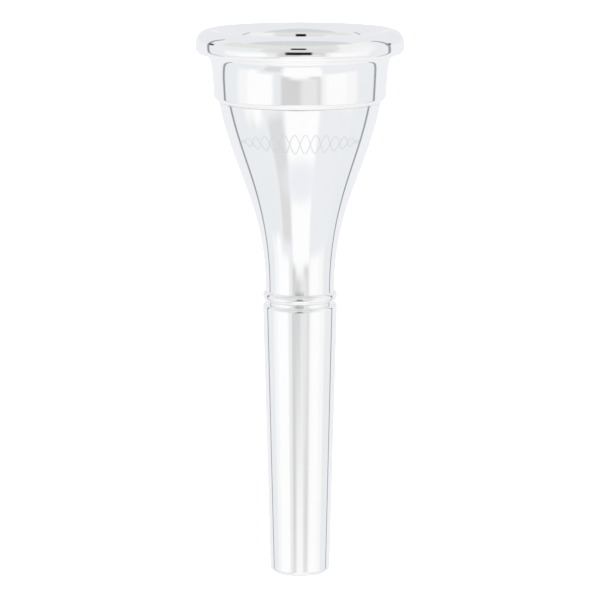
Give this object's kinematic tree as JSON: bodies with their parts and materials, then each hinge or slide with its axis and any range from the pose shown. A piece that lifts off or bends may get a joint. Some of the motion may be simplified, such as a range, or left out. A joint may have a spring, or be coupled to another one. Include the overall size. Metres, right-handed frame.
{
  "type": "french horn mouthpiece",
  "caption": "Funnel-cup horn mouthpiece: a rolled lip rim on a threaded skirt screws onto a turned cup with twin rings and a tapered shank.",
  "frame": {"origin": "centre of the shank's small end, the lowest point of the upright mouthpiece", "axes": "+Z along the turning axis from the shank's small end towards the lip rim; +X and +Y square to it, with no preferred direction on a turned part"},
  "size_m": [0.0254, 0.0254, 0.0678],
  "materials": {
    "silver_plate_cup": "brass, silver plated and mirror polished",
    "silver_plate_rim": "brass, silver plated and mirror polished",
    "seal_rubber": "matte black nitrile"
  },
  "bodies": {
    "underpart": {"cup_and_shank": "silver_plate_cup"},
    "seal": {"rim_o_ring": "seal_rubber"},
    "rim": {"screw_rim": "silver_plate_rim"}
  },
  "joints": [
    {"name": "rim_rise", "type": "slide", "parent": "underpart", "child": "seal", "axis": [0, 0, 1], "range_m": [0, 0.00375]},
    {"name": "rim_turn", "type": "hinge", "parent": "seal", "child": "rim", "pos_m": [0, 0, 0.0634], "axis": [0, 0, 1], "range_deg": [0, 1800]}
  ],
  "couplings": [
    {"joint": "rim_turn", "follows": "rim_rise", "rad_per_m": 8377.6}
  ]
}
